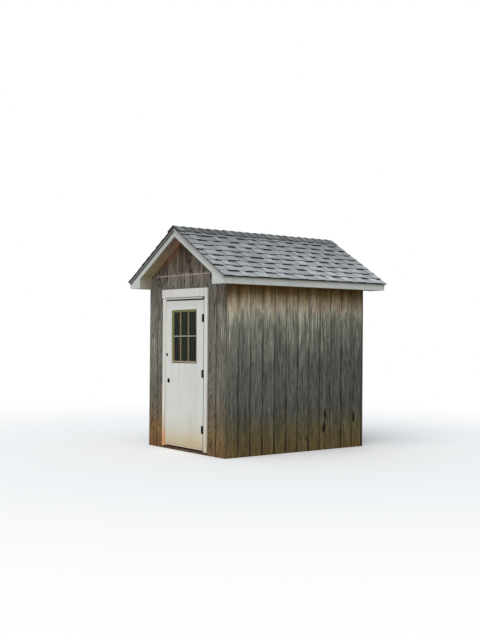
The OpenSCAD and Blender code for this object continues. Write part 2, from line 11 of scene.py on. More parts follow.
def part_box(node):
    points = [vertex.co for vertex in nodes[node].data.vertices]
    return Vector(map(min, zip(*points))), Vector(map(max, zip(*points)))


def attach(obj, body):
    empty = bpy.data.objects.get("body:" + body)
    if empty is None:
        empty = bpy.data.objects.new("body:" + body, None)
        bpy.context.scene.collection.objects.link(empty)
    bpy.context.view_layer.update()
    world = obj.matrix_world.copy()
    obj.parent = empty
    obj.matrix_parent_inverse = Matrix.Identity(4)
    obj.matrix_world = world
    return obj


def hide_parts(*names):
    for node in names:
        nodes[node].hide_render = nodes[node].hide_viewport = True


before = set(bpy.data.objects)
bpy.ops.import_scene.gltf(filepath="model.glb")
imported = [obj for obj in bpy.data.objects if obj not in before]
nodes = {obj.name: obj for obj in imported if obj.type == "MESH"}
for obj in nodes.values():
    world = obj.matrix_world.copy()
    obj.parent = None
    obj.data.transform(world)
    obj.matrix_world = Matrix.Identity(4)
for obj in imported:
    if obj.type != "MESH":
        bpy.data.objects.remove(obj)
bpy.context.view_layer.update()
scene = bpy.context.scene
scene.view_settings.view_transform = "Standard"

# sizes: from the boxes of the CAD nodes where those tell them, else as in the CAD source


def middle(low, high):
    return (low + high) / 2


PITCH = math.radians(31.3)
SLOPE, COS = math.tan(PITCH), math.cos(PITCH)
deck_low, deck_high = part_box("roof_sheet_right")
APEX = deck_high.z + SLOPE * deck_low.x  # where the tops of the two roof sheets meet
shingle_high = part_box("shingles_right")[1]
EAVE_X, END_Y = shingle_high.x, shingle_high.y
COURSE = 0.143 * COS  # the part of a course that shows, measured level
SEAT = 0.0002  # keeps a piece off the plane of the face it lies on
WALL_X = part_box("right_wall_siding")[1].x
WALL_Y = abs(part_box("front_gable_siding")[0].y)
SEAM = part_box("front_gable_siding")[0].z
GROOVE = 0.2032  # from groove to groove, 8 in
FASCIA_X, FASCIA_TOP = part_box("fascia_right")[1].x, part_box("fascia_right")[1].z
MOULDING_Y, MOULDING_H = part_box("rake_mouldings")[1].y, 0.036
RETURN_X = WALL_X - 0.035  # the inner cheek of an eave return
LEAF_LOW, LEAF_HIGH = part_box("door_leaf")
DOOR_GAP = 0.005
JAMB_LOW, JAMB_HIGH = LEAF_LOW.x - DOOR_GAP, LEAF_HIGH.x + DOOR_GAP
HEAD_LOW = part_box("door_head_jamb")[0].z
CASING_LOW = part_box("door_head_casing")[0].z
BACKSET, BORE_UP = 0.073, 0.890  # the lock bore from the leaf's edge and foot
BORE = (LEAF_LOW.x + BACKSET, LEAF_LOW.y, LEAF_LOW.z + BORE_UP)
LATCH = middle(*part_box("door_latch"))
LATCH_SHADOW = (LATCH.x - 0.012, LEAF_LOW.y, LATCH.z + 0.003)  # a painted shadow spot, left of the latch
HINGE_L = 0.102
LOW_HINGE, HIGH_HINGE = LEAF_LOW.z + 0.273, LEAF_HIGH.z - 0.249
HINGES = [LOW_HINGE, middle(LOW_HINGE, HIGH_HINGE), HIGH_HINGE]
WINDOW = middle(*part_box("window_frame_outer"))
SASH_W, SASH_H, SASH_TURN = 0.609, 0.731, math.radians(0.8)
# splits of the right wall: place along it, lower and upper end, and half width of the black
# painted round it: shade inside the split, grime round it
SPLITS = [(0.486, 0.225, 0.405, 0.016), (0.502, 0.405, 0.580, 0.013), (1.050, 0.345, 0.515, 0.014),
          (1.046, 0.560, 0.900, 0.004), (0.150, 0.130, 0.230, 0.006)]


def roof(x, y, h):
    """A point over the slope at x (either side), a height h above the roof sheet, square to it."""
    return (x, y, APEX - SLOPE * abs(x) + h / COS)


# materials

looks = {}  # the finished ones by name


def add_node(tree, kind, inputs=None, **settings):
    """A new node; an input, named by its key or number, is given a value, a socket or a node."""
    new = tree.nodes.new(kind)
    for key, value in settings.items():
        setattr(new, key, value)
    for key, value in (inputs or {}).items():
        if isinstance(value, bpy.types.Node):
            value = value.outputs[0]
        if isinstance(value, bpy.types.NodeSocket):
            tree.links.new(value, new.inputs[key])
        else:
            new.inputs[key].default_value = value
    return new


def seen_directly(tree):
    """1 for the rays that show a background: from the camera, off a shiny face or through glass."""
    rays = add_node(tree, "ShaderNodeLightPath").outputs
    shown = rays["Is Camera Ray"]
    for kind in ("Is Glossy Ray", "Is Transmission Ray"):
        shown = add_node(tree, "ShaderNodeMath", {0: shown, 1: rays[kind]}, operation="MAXIMUM")
    return shown


class Surface:
    """A material whose nodes are made by short calls; a value is a number, a tuple or a socket."""

    def __init__(self, name):
        self.name = name
        self.material = bpy.data.materials.new(name)
        self.material.use_nodes = True
        self.tree = self.material.node_tree
        self.tree.nodes.clear()
        self.shader = self.node("ShaderNodeBsdfPrincipled")
        self.output = self.node("ShaderNodeOutputMaterial", {0: self.shader})
        self.at = self.node("ShaderNodeTexCoord").outputs["Object"]
        self.x, self.y, self.z = self.node("ShaderNodeSeparateXYZ", {0: self.at}).outputs

    def node(self, kind, inputs=None, **settings):
        return add_node(self.tree, kind, inputs, **settings)

    def math(self, operation, a, b=0.0):
        return self.node("ShaderNodeMath", {0: a, 1: b}, operation=operation).outputs[0]

    def fold(self, operation, values):
        total = values[0]
        for value in values[1:]:
            total = self.math(operation, total, value)
        return total

    def mul(self, *values):
        return self.fold("MULTIPLY", values)

    def add(self, *values):
        return self.fold("ADD", values)

    def most(self, *values):
        return self.fold("MAXIMUM", values)

    def abs(self, value):
        return self.math("ABSOLUTE", value)

    def span(self, value, low, high, start=0.0, end=1.0, soft=True):
        """start below low, end above high, and a ramp between them."""
        kind = "SMOOTHSTEP" if soft else "LINEAR"
        inputs = {0: value, 1: low, 2: high, 3: start, 4: end}
        return self.node("ShaderNodeMapRange", inputs, interpolation_type=kind).outputs[0]

    def fall(self, value, low, high):
        """1 below low, 0 above high."""
        return self.span(value, low, high, 1.0, 0.0)

    def within(self, value, low, high, edge):
        """1 between low and high, 0 outside, with soft edges."""
        return self.mul(self.span(value, low - edge, low), self.fall(value, high, high + edge))

    def mix(self, share, a, b, how="MIX"):
        a = (*a, 1.0) if isinstance(a, tuple) else a
        b = (*b, 1.0) if isinstance(b, tuple) else b
        inputs = {0: share, 6: a, 7: b}
        return self.node("ShaderNodeMix", inputs, data_type="RGBA", blend_type=how).outputs[2]

    def tint(self, color, factor):
        """color times a number."""
        return self.node("ShaderNodeVectorMath", {0: color, 3: factor}, operation="SCALE").outputs[0]

    def noise(self, sx, sy, sz, seed, detail=2.0, rough=0.5, bend=0.0, at=None):
        """Noise with a scale along each axis; the seed moves it to another place."""
        away = (seed, seed * 1.7, seed * 0.6)
        moved = self.node("ShaderNodeMapping", {0: at or self.at, 1: away, 3: (sx, sy, sz)})
        inputs = {"Vector": moved, "Scale": 1.0, "Detail": detail, "Roughness": rough, "Distortion": bend}
        return self.node("ShaderNodeTexNoise", inputs).outputs[0]

    def random(self, value, seed):
        """A number from 0 to 1 for each whole number."""
        inputs = {"W": self.add(value, seed)}
        return self.node("ShaderNodeTexWhiteNoise", inputs, noise_dimensions="1D").outputs[0]

    def finish(self, color, rough, height=None, depth=0.001, strength=1.0, shine=0.5, **fixed):
        """Put colour, roughness and bumps on the shader, with its other inputs by their names."""
        sockets = self.shader.inputs
        for key, value in (("Base Color", color), ("Roughness", rough)):
            if isinstance(value, bpy.types.NodeSocket):
                self.tree.links.new(value, sockets[key])
            else:
                sockets[key].default_value = (*value, 1.0) if isinstance(value, tuple) else value
        if height is not None:
            bump = self.node("ShaderNodeBump", {"Height": height, "Distance": depth, "Strength": strength})
            self.tree.links.new(bump.outputs[0], sockets["Normal"])
        sockets["Specular IOR Level"].default_value = shine
        for key, value in fixed.items():
            sockets[key.replace("_", " ")].default_value = value
        looks[self.name] = self.material


class Siding(Surface):
    """Grooved plywood whose boards run up and down; side is true on the two long walls. It keeps
    the noises that several layers of the colour share."""

    def __init__(self, name, side, seed):
        super().__init__(name)
        self.side, self.seed = side, seed
        self.along, self.deep = (self.y, self.x) if side else (self.x, self.y)
        self.face, self.half = (WALL_X, WALL_Y) if side else (WALL_Y, WALL_X)
        self.board_at = self.mul(self.add(self.along, self.half), 1 / GROOVE)
        self.board = self.math("FLOOR", self.board_at)
        # each board is cut from another part of the sheet, so its grain starts somewhere else
        shift = self.mul(self.random(self.board, seed + 40.0), 3.0)
        moved = {0: self.add(self.x, shift), 1: self.add(self.y, shift), 2: self.add(self.z, shift)}
        self.sheet = self.node("ShaderNodeCombineXYZ", moved)
        self.wide = self.fibres(10, 1.5, 0, 3, 0.6)
        self.streak = self.fibres(46, 3.2, 3, 3, bend=0.25)
        self.thin = self.fibres(88, 4.6, 4, 3, bend=0.4)
        self.hair = self.fibres(155, 9, 6)
        self.grain = self.fibres(320, 14, 5)
        self.flow = self.fibres(5.5, 0.9, 9, 1, 0.5)
        self.flecks = self.fibres(70, 9, 12, 3, 0.6)

    def fibres(self, across, up, seed, detail=2, rough=0.7, bend=0.0):
        """Noise drawn out along the boards, with its scale across them and up them."""
        return self.noise(across, across, up, self.seed + seed, detail, rough, bend, self.sheet)


def siding_means(s, heights, ragged):
    """The mean colour at each height, pulled up and down by the streaks."""
    run = s.add(s.mul(s.streak, 0.34), s.mul(s.wide, 0.48), s.mul(s.thin, 0.18), -0.5)
    calm = s.mul(s.span(s.z, 1.85, 2.10, 1.0, 0.4), s.span(s.z, 0.55, 0.95, 0.5, 1.0))
    # the grey reaches higher towards the back
    higher = s.mul(s.span(s.y, -0.6, 1.2, 0.0, -0.08), s.fall(s.z, 1.90, 2.02), s.span(s.z, 0.9, 1.3))
    level = s.add(s.z, s.mul(run, ragged, calm), higher)
    ramp = s.node("ShaderNodeValToRGB", {0: s.mul(level, 1 / RAMP_TOP)})
    stops = ramp.color_ramp.elements
    for stop, (z, tint) in zip(stops, (heights[0], heights[-1])):
        stop.position, stop.color = z / RAMP_TOP, (*tint, 1.0)
    for z, tint in heights[1:-1]:
        stops.new(z / RAMP_TOP).color = (*tint, 1.0)
    return ramp.outputs[0]


def siding_streaks(s, color, blush, pale):
    """Pinkish patches in the bare band, and light streaks, mostly where it turns grey."""
    patches = s.noise(6, 6, 2.4, s.seed + 16, detail=3, rough=0.6)
    rosy = s.mul(s.span(patches, 0.50, 0.62), s.within(s.z, 1.92, 2.08, 0.08), 0.5)
    color = s.mix(rosy, color, blush)
    runs = s.fibres(52, 1.9, 21, rough=0.6, bend=0.2)
    band = s.mul(s.span(s.z, 1.15, 1.60, 0.12, 1.0), s.fall(s.z, 1.93, 2.06))
    light = s.mul(s.span(runs, 0.60, 0.635), band)
    color = s.mix(s.mul(light, 0.55 if s.side else 0.75), color, pale)
    if s.side:
        long = s.mul(pale_runs(s), s.span(s.thin, 0.30, 0.60, 0.65, 1.0))
        color = s.mix(long, color, (0.50, 0.49, 0.40))
    return color


def pale_runs(s):
    """Long pale streaks down from the bare band: one slot of the wall in two has one, with its own
    place in the slot and its own lower end."""
    slot_width = 0.085
    at = s.add(s.mul(s.along, 1 / slot_width), s.mul(s.flow, 0.6))
    slot = s.math("FLOOR", at)
    place = s.span(s.random(slot, 50.0), 0.0, 1.0, 0.2, 0.8, soft=False)
    off = s.abs(s.math("SUBTRACT", s.math("FRACT", at), place))
    foot = s.span(s.random(slot, 61.0), 0.0, 1.0, 1.25, 1.75, soft=False)
    present = s.span(s.random(slot, 72.0), 0.50, 0.55)
    above = s.span(s.math("SUBTRACT", s.z, foot), 0.0, 0.20)
    return s.mul(s.fall(off, 0.045, 0.105), present, above, s.fall(s.z, 1.90, 2.02))


def siding_grain(s, color, ring):
    """The weathered grain: light ridges, dark checks, broad stripes and cathedral rings."""
    bare = s.span(s.z, 1.8, 2.2, 1.0, 0.9 if s.side else 1.8)
    contrast = s.add(s.span(s.z, 0.9, 1.5, 0.16, 0.0), bare)
    if s.side:
        contrast = s.mul(contrast, s.span(s.y, -0.8, 1.0, 1.0, 1.3))
    rings = s.math("SINE", s.add(s.mul(s.flow, 120.0), s.mul(s.along, 30.0), s.mul(s.z, 4.0)))
    scratches = s.fibres(112, 3.0, 14, rough=0.6, bend=0.5)
    grained = s.add(s.span(s.streak, 0.38, 0.62, -0.14, 0.14), s.span(s.thin, 0.54, 0.64, 0.0, 0.26),
                    s.span(s.thin, 0.36, 0.45, -0.26, 0.0), s.span(s.hair, 0.36, 0.64, -0.20, 0.20),
                    s.span(scratches, 0.61, 0.66, 0.0, 0.45),
                    s.mul(s.span(rings, 0.4, 0.95, 0.35, -0.8), ring))
    stripes = s.fibres(19, 2.3, 30, rough=0.5, bend=0.6)
    gable = s.span(s.z, 2.15, 2.35, 0.13, 0.13 if s.side else 0.34)
    striped = s.mul(s.span(stripes, 0.40, 0.60, -1.0, 1.0), gable)
    return s.tint(color, s.add(0.96, s.mul(grained, contrast), striped))


def siding_tones(s, color, fade):
    """The tone of each board, the fading along the wall above its foot, and dark flecks."""
    tone = s.random(s.board, s.seed)
    color = s.tint(color, s.add(0.88, s.mul(tone, 0.16), s.span(s.grain, 0.3, 0.7, -0.10, 0.14)))
    faded = s.span(s.y, -1.2, 1.2, *fade, soft=False)
    color = s.tint(color, s.add(1.0, s.mul(s.add(faded, -1.0), s.span(s.z, 0.25, 0.75))))
    return s.mix(s.mul(s.span(s.flecks, 0.69, 0.74), 0.65), color, (0.016, 0.014, 0.011))


def siding_grooves(s, color, pale):
    """Grooves between the boards painted dark, as dirt and painted shade in them, worn wider low down
    and rotten at some feet, and a pale worn line beside a few of them."""
    beside = s.math("SUBTRACT", s.math("FRACT", s.add(s.board_at, 0.5)), 0.5)
    worn = s.mul(s.within(beside, 0.034, 0.058, 0.008), s.span(s.random(s.board, 8.0), 0.72, 0.76),
                 s.span(s.z, 1.2, 1.6, 0.5, 0.1), s.span(s.wide, 0.40, 0.55))
    color = s.mix(worn, color, pale)
    chosen = s.span(s.random(s.math("ROUND", s.board_at), 3.0), 0.5, 0.6)
    rotten = s.mul(s.span(s.z, 0.16, 0.30, 0.026, 0.0), chosen)
    wider = s.add(rotten, s.span(s.z, 1.3, 1.8, 0.010, 0.0))
    # the grooves are painted near black: dirt, and painted shade in the recess
    groove = s.fall(s.math("SUBTRACT", s.abs(beside), wider), 0.016, 0.029)
    inside = s.fall(s.abs(s.along), s.half - 0.030, s.half - 0.020)
    faint = s.within(s.z, 1.48, 1.86, 0.12)
    dark = s.add(0.90, s.mul(rotten, 4.0), s.mul(faint, -0.45))
    return s.mix(s.mul(groove, inside, dark), color, (0.016, 0.012, 0.008))


def siding_edges(s, color):
    """Cut edges painted dark, near black on the long walls as painted shade inside the splits, and raw wood
    on the inside.
    """
    depth = s.math("SUBTRACT", s.face, s.abs(s.deep))
    # on the long walls this near black is painted shade on the walls of the splits
    cut = (0.012, 0.010, 0.008) if s.side else (0.070, 0.060, 0.044)
    color = s.mix(s.span(depth, 0.006, 0.008), color, cut)
    raw = s.mix(s.span(s.thin, 0.4, 0.6), (0.24, 0.16, 0.085), (0.33, 0.23, 0.13))
    return s.mix(s.span(depth, 0.0152, 0.0156), color, raw)


def weathered_siding(name, side, seed, heights, ragged, pale, blush, fade, ring):
    """The look of a wall. heights gives its mean colour from the ground up, ragged says how far the
    streaks pull that up or down, pale is the colour of the light streaks, blush that of the pinkish
    patches, fade the brightness at the front and back end, and ring the strength of the rings."""
    s = Siding(name, side, seed)
    color = siding_means(s, heights, ragged)
    color = siding_streaks(s, color, blush, pale)
    color = siding_grain(s, color, ring)
    color = siding_tones(s, color, fade)
    if not side:
        color = end_wall_tints(s, color)
    color = siding_grooves(s, color, pale)
    if side:
        color = dark_corner_and_splits(s, color)
    color = siding_edges(s, color)
    height = s.add(s.mul(s.grain, 0.4), s.mul(s.hair, 0.5), s.mul(s.thin, 0.6), s.mul(s.flecks, -0.4))
    s.finish(color, s.span(s.grain, 0.3, 0.7, 0.84, 0.96), height, 0.0022, 0.9, 0.2)


def below_roof(s):
    """Distance below the top of the roof sheet, square to the slope."""
    return s.mul(s.add(APEX, s.mul(s.abs(s.x), -SLOPE), s.mul(s.z, -1.0)), COS)


def end_wall_tints(s, color):
    """What the front shows in single places: clay at the left foot, shade on the right boards, a
    reddish corner, red under the left soffit, a pale and a dark gable board, and a greyer right."""
    left = s.fall(s.x, -0.3, 0.1)
    clay = s.mul(left, s.fall(s.z, 0.30, 0.60))
    color = s.mix(clay, color, (1.11, 0.95, 0.87), "MULTIPLY")
    shade = s.mul(s.span(s.z, 0.25, 0.60, 0.05, -0.09), s.span(s.x, 0.4, 0.5))
    color = s.tint(color, s.add(1.0, shade))
    corner = s.mul(s.span(s.x, 0.70, 0.80), s.span(s.z, 1.90, 2.15), 0.45)
    color = s.mix(corner, color, (0.135, 0.085, 0.065))
    near = s.fall(s.add(below_roof(s), s.mul(s.thin, 0.14)), 0.20, 0.31)
    red = s.mul(near, s.fall(s.x, 0.0, 0.12), s.span(s.z, 2.40, 2.60), 0.7)
    color = s.mix(red, color, (0.20, 0.090, 0.055))
    boards = s.add(s.mul(s.within(s.x, -0.46, -0.20, 0.02), 0.30),
                   s.mul(s.within(s.x, -0.18, 0.09, 0.02), -0.38))
    color = s.tint(color, s.add(1.0, s.mul(boards, s.span(s.z, SEAM, SEAM + 0.06))))
    grey = s.mul(s.span(s.x, 0.05, 0.25), s.span(s.z, 2.42, 2.60), 0.6)
    return s.mix(grey, color, (0.88, 1.0, 1.0), "MULTIPLY")


def dark_corner_and_splits(s, color):
    """A darker brown patch at the top of the front corner, and black round the splits: painted shade inside
    them and wandering grime round them.
    """
    front = s.fall(s.add(s.y, s.mul(s.thin, 0.06)), -1.16, -1.07)
    corner_dark = s.mul(front, s.span(s.z, 1.90, 2.15), 0.65)
    color = s.mix(corner_dark, color, (0.092, 0.062, 0.030))
    jag = s.add(s.noise(1, 1, 26, 44.0, detail=1), -0.5)
    # near black over each split: painted shade in the opening, and grime on its edges
    split_shade_and_grime = []
    for y, low, high, half in SPLITS:
        away = s.mul(s.add(s.y, -y, s.mul(s.add(s.thin, -0.5), 0.016), s.mul(jag, 0.05)), 0.62 / half)
        rise = s.mul(s.add(s.z, -(low + high) / 2), 2 / (high - low))
        far = s.add(s.mul(away, away), s.mul(rise, rise))
        split_shade_and_grime.append(s.fall(far, 0.7, 1.1))
    on_right_wall = s.span(s.x, 0.0, 0.1)
    return s.mix(s.mul(s.most(*split_shade_and_grime), on_right_wall), color, (0.006, 0.005, 0.004))


def painted(name, paint, seed, dirt, along, wear_and_shade):
    """White paint on wood: grain stretched by along, grey runs and specks, and what a last function
    adds to the colour with the help of a slow wave: dirt, and on some trims painted shade."""
    s = Surface(name)
    grain = s.noise(*along, seed, detail=3, rough=0.6)
    cloud = s.noise(2.2, 2.2, 1.6, seed + 2, detail=4, rough=0.6)
    runs = s.noise(26, 26, 1.1, seed + 4, detail=3, rough=0.6)
    specks = s.noise(70, 70, 70, seed + 6, detail=2, rough=0.6)
    color = s.mix(s.mul(s.span(cloud, 0.4, 0.72), dirt), paint, (0.48, 0.45, 0.38))
    color = s.mix(s.mul(s.span(runs, 0.52, 0.74), dirt * 0.9), color, (0.40, 0.37, 0.32))
    color = s.mix(s.mul(s.span(specks, 0.66, 0.74), 0.55), color, (0.22, 0.19, 0.15))
    color = s.tint(color, s.span(grain, 0.3, 0.7, 0.96, 1.02))
    color = wear_and_shade(s, color, s.add(s.mul(runs, 0.16), s.mul(cloud, 0.10)))
    height = s.add(s.mul(grain, 0.5), s.mul(specks, 0.3))
    s.finish(color, s.span(cloud, 0.3, 0.7, 0.42, 0.6), height, 0.0006, 0.5)


def rake_grime_and_shade(s, color, wave):
    """Grime and painted shade on the moulding, a painted shadow line under it, and painted shade of
    the overhang high on the board; all stronger on the left slope.
    """
    down = below_roof(s)
    left = s.fall(s.x, -0.02, 0.02)
    color = s.tint(color, s.span(s.abs(s.x), 0.2, 0.9, 0.84, 0.97))
    # painted shade: the board darker near the roof, under the overhang
    color = s.tint(color, s.span(down, 0.020, 0.090, s.span(left, 0.0, 1.0, 0.78, 0.62), 1.0))
    moulding_grime_and_shade = s.fall(down, MOULDING_H - 0.004, MOULDING_H + 0.001)
    color = s.mix(s.mul(moulding_grime_and_shade, s.span(left, 0.0, 1.0, 0.10, 0.75)), color, (0.115, 0.115, 0.105))
    # a painted shadow line just under the moulding
    line = s.within(down, MOULDING_H - 0.0005, MOULDING_H + 0.009, 0.002)
    return s.mix(s.mul(line, s.span(left, 0.0, 1.0, 0.12, 0.92)), color, (0.03, 0.028, 0.024))


def fascia_grime_and_shade(s, color, wave):
    """Green and dark just under the drip edge: dirt, and painted shade of the overhanging shingles."""
    under = s.span(s.add(s.z, s.mul(wave, 0.06)), FASCIA_TOP - 0.034, FASCIA_TOP, 1.0, 0.50)
    color = s.tint(color, under)
    return s.mix(s.span(s.z, FASCIA_TOP - 0.05, FASCIA_TOP, 0.0, 0.35), color, (0.14, 0.16, 0.12))


def return_wear(s, color, wave):
    """The inner cheeks of the eave returns are bare and dirty."""
    cheek = s.fall(s.abs(s.x), RETURN_X + 0.0004, RETURN_X + 0.0012)
    tan = s.mix(s.span(s.y, -1.42, -1.26), (0.50, 0.46, 0.36), (0.44, 0.37, 0.26))
    return s.mix(s.mul(cheek, 0.9), color, tan)


def frame_clay_and_gap_shadow(s, color, wave):
    """Clay on the feet of the casings, and the open joints round the leaf and over it painted black, as
    dirt and painted shadow in the gaps.
    """
    level = s.add(s.z, s.mul(wave, -1.0), 0.13)
    left = s.fall(s.x, -0.1, 0.1)
    color = s.mix(s.mul(s.span(level, 0.20, 0.70, 0.8, 0.0), left), color, (0.72, 0.57, 0.40))
    color = s.mix(s.mul(s.fall(level, 0.05, 0.55), 0.7), color, (0.62, 0.49, 0.31))
    color = s.mix(s.mul(s.fall(level, 0.10, 0.36), left, 0.9), color, (0.70, 0.34, 0.11))
    color = s.tint(color, s.span(s.z, HEAD_LOW, CASING_LOW, 1.0, 0.93))
    # painted shadow in the gaps under the head jamb, beside the leaf, under the casing and at the right
    # corner
    over = s.within(s.z, HEAD_LOW - 0.0008, HEAD_LOW + 0.0008, 0.0008)
    right = s.within(s.x, JAMB_HIGH - 0.0008, JAMB_HIGH + 0.0026, 0.0008)
    inside = s.within(s.x, JAMB_LOW - 0.019, JAMB_HIGH + 0.019, 0.002)
    lap = s.mul(s.within(s.z, CASING_LOW - 0.002, CASING_LOW + 0.0045, 0.001), inside, 0.95)
    corner = s.mul(s.within(s.x, JAMB_HIGH - 0.030, JAMB_HIGH + 0.006, 0.008),
                   s.within(s.z, HEAD_LOW - 0.001, CASING_LOW + 0.002, 0.002))
    return s.mix(s.most(over, right, lap, corner), color, (0.010, 0.009, 0.008))


def bare_wood(name, light, dark, seed, along):
    """Sawn or planed wood; along gives the stretch of its grain on each axis."""
    s = Surface(name)
    grain = s.noise(*along, seed, detail=4, rough=0.65, bend=0.4)
    cloud = s.noise(2.5, 2.5, 2.5, seed + 3, detail=3)
    spots = s.noise(*(a ** 0.5 * 2 for a in along), seed + 7, detail=2)
    color = s.mix(s.span(grain, 0.34, 0.68), dark, light)
    color = s.mix(s.mul(s.span(cloud, 0.45, 0.75), 0.45), color, tuple(c * 0.6 for c in dark))
    color = s.mix(s.mul(s.span(spots, 0.68, 0.78), 0.6), color, tuple(c * 0.35 for c in dark))
    s.finish(color, 0.8, grain, 0.0010, 0.6, 0.3)


def soffit_wood():
    """Raw plywood under the overhangs: olive brown, yellower and paler low down, reddish towards
    the ridge, paler beside the wall there, and rusty on the level soffits of the eaves."""
    s = Surface("soffit")
    grain = s.noise(9, 60, 9, 2.0, detail=4, rough=0.65)
    cloud = s.noise(5, 5, 5, 5.0, detail=3)
    color = s.mix(s.span(grain, 0.3, 0.7), (0.27, 0.225, 0.145), (0.37, 0.315, 0.205))
    color = s.mix(s.mul(s.span(cloud, 0.45, 0.7), 0.4), color, (0.27, 0.25, 0.13))
    color = s.tint(color, s.span(s.z, 2.40, 2.95, 1.15, 0.72))
    color = s.mix(s.span(s.z, 2.60, 2.80, 0.8, 0.0), color, (1.0, 0.96, 0.80), "MULTIPLY")
    high = s.span(s.add(s.z, s.mul(cloud, 0.3)), 2.72, 3.00)
    color = s.mix(s.mul(high, 0.65), color, (0.25, 0.105, 0.080))
    inward = s.fall(s.abs(s.y), WALL_Y, WALL_Y + 0.14)
    color = s.tint(color, s.add(1.0, s.mul(inward, s.span(s.z, 2.60, 2.80), 0.35)))
    level = s.fall(s.z, 2.26, 2.30)
    rusty = s.mix(s.span(s.x, -0.1, 0.1), (0.30, 0.155, 0.055), (0.14, 0.11, 0.055))
    color = s.mix(s.mul(level, 0.7), color, rusty)
    s.finish(color, 0.85, grain, 0.0010, 0.6, 0.3)


def granules():
    """Mineral granules on a shingle; the mesh's own tone makes one tab paler than the next."""
    s = Surface("granules")
    tone = s.node("ShaderNodeAttribute", attribute_name="tone").outputs["Fac"]
    grit = s.noise(900, 900, 900, 0.0, 2, 0.7)
    patch = s.noise(9, 9, 9, 1.0, detail=3, rough=0.6)
    soot = s.noise(2, 1.2, 2, 3.0, detail=3)
    color = s.mix(tone, (0.022, 0.024, 0.026), (0.46, 0.485, 0.50))
    color = s.tint(color, s.add(s.span(grit, 0.3, 0.7, 0.70, 1.30), s.mul(s.add(patch, -0.5), 0.45)))
    color = s.mix(s.mul(s.span(soot, 0.5, 0.75), 0.25), color, (0.12, 0.125, 0.11))
    color = s.tint(color, s.span(s.z, 2.36, 3.04, 1.10, 0.62, soft=False))
    s.finish(color, 0.92, grit, 0.0007, 0.8, 0.25)


def plain_rough(name, color, second, scale, rough, depth, shine=0.5):
    """Two mottled colours, as of iron, asphalt or sheet metal; shine is the level of its gloss."""
    s = Surface(name)
    cloud = s.noise(scale, scale, scale, 1.0, detail=4, rough=0.65)
    fine = s.noise(*[scale * 12] * 3, 0.0, 2, 0.6)
    mixed = s.mix(s.span(cloud, 0.42, 0.7), color, second)
    mixed = s.tint(mixed, s.span(fine, 0.3, 0.7, 0.85, 1.15))
    s.finish(mixed, s.span(cloud, 0.3, 0.7, rough - 0.1, rough + 0.1), fine, depth, 0.6, shine)


def door_paint():
    """The flush white leaf: yellow clay at its foot, dark edges that are raw wood and painted shadow of
    the gaps, a painted shadow left of the latch, and a worn ring round the empty bore, whose inside
    is painted black as shade."""
    s = Surface("door_paint")
    cloud = s.noise(2.6, 2.6, 1.5, 3.0, detail=4, rough=0.6)
    runs = s.noise(22, 22, 1.4, 8.0, detail=3, rough=0.6)
    fine = s.noise(150, 150, 4, 11.0, detail=2)
    color = s.mix(s.mul(s.span(cloud, 0.42, 0.7), 0.24), (0.73, 0.735, 0.695), (0.58, 0.56, 0.53))
    color = s.mix(s.mul(s.span(runs, 0.54, 0.72), 0.26), color, (0.44, 0.43, 0.40))
    color = s.tint(color, s.span(s.z, 1.93, 2.02, 1.0, 0.90))
    wave = s.add(s.z, s.mul(cloud, -0.20), s.mul(runs, -0.10))
    color = s.mix(s.mul(s.fall(wave, -0.10, 0.40), 0.75), color, (0.64, 0.51, 0.29))
    color = s.mix(s.mul(s.fall(wave, -0.10, 0.10), 0.45), color, (0.50, 0.36, 0.17))
    rise = s.add(s.z, -LEAF_LOW.z)
    color = s.mix(s.mul(s.fall(rise, 0.010, 0.014), 0.7), color, (0.74, 0.60, 0.50))
    color = s.mix(s.mul(s.within(rise, 0.017, 0.022, 0.003), 0.55), color, (0.22, 0.12, 0.05))
    # dark edges: the raw left edge, and bands at the right and top that are painted shadow of the gaps
    edge = s.most(s.span(s.x, LEAF_HIGH.x - 0.0045, LEAF_HIGH.x - 0.0025),
                  s.fall(s.x, LEAF_LOW.x + 0.0006, LEAF_LOW.x + 0.0014),
                  s.span(s.z, LEAF_HIGH.z - 0.010, LEAF_HIGH.z - 0.007))
    color = s.mix(s.mul(edge, 0.95), color, (0.03, 0.027, 0.024))
    face = s.node("ShaderNodeCombineXYZ", {0: s.x, 1: LEAF_LOW.y, 2: s.z}).outputs[0]
    latch = s.node("ShaderNodeVectorMath", {0: face, 1: LATCH_SHADOW}, operation="DISTANCE").outputs[1]
    # a painted shadow of the latch, left of it
    color = s.mix(s.mul(s.fall(latch, 0.016, 0.026), 0.85), color, (0.13, 0.125, 0.115))
    bore = s.node("ShaderNodeVectorMath", {0: face, 1: BORE}, operation="DISTANCE").outputs[1]
    color = s.mix(s.mul(s.within(bore, 0.028, 0.035, 0.003), 0.8), color, (0.30, 0.28, 0.25))
    # the bore's inside and a thin ring round it painted black: painted shade in the empty bore
    color = s.mix(s.fall(bore, 0.0290, 0.0310), color, (0.008, 0.007, 0.006))
    s.finish(color, s.span(cloud, 0.3, 0.7, 0.36, 0.5), s.add(s.mul(fine, 0.4), runs), 0.0005, 0.4)


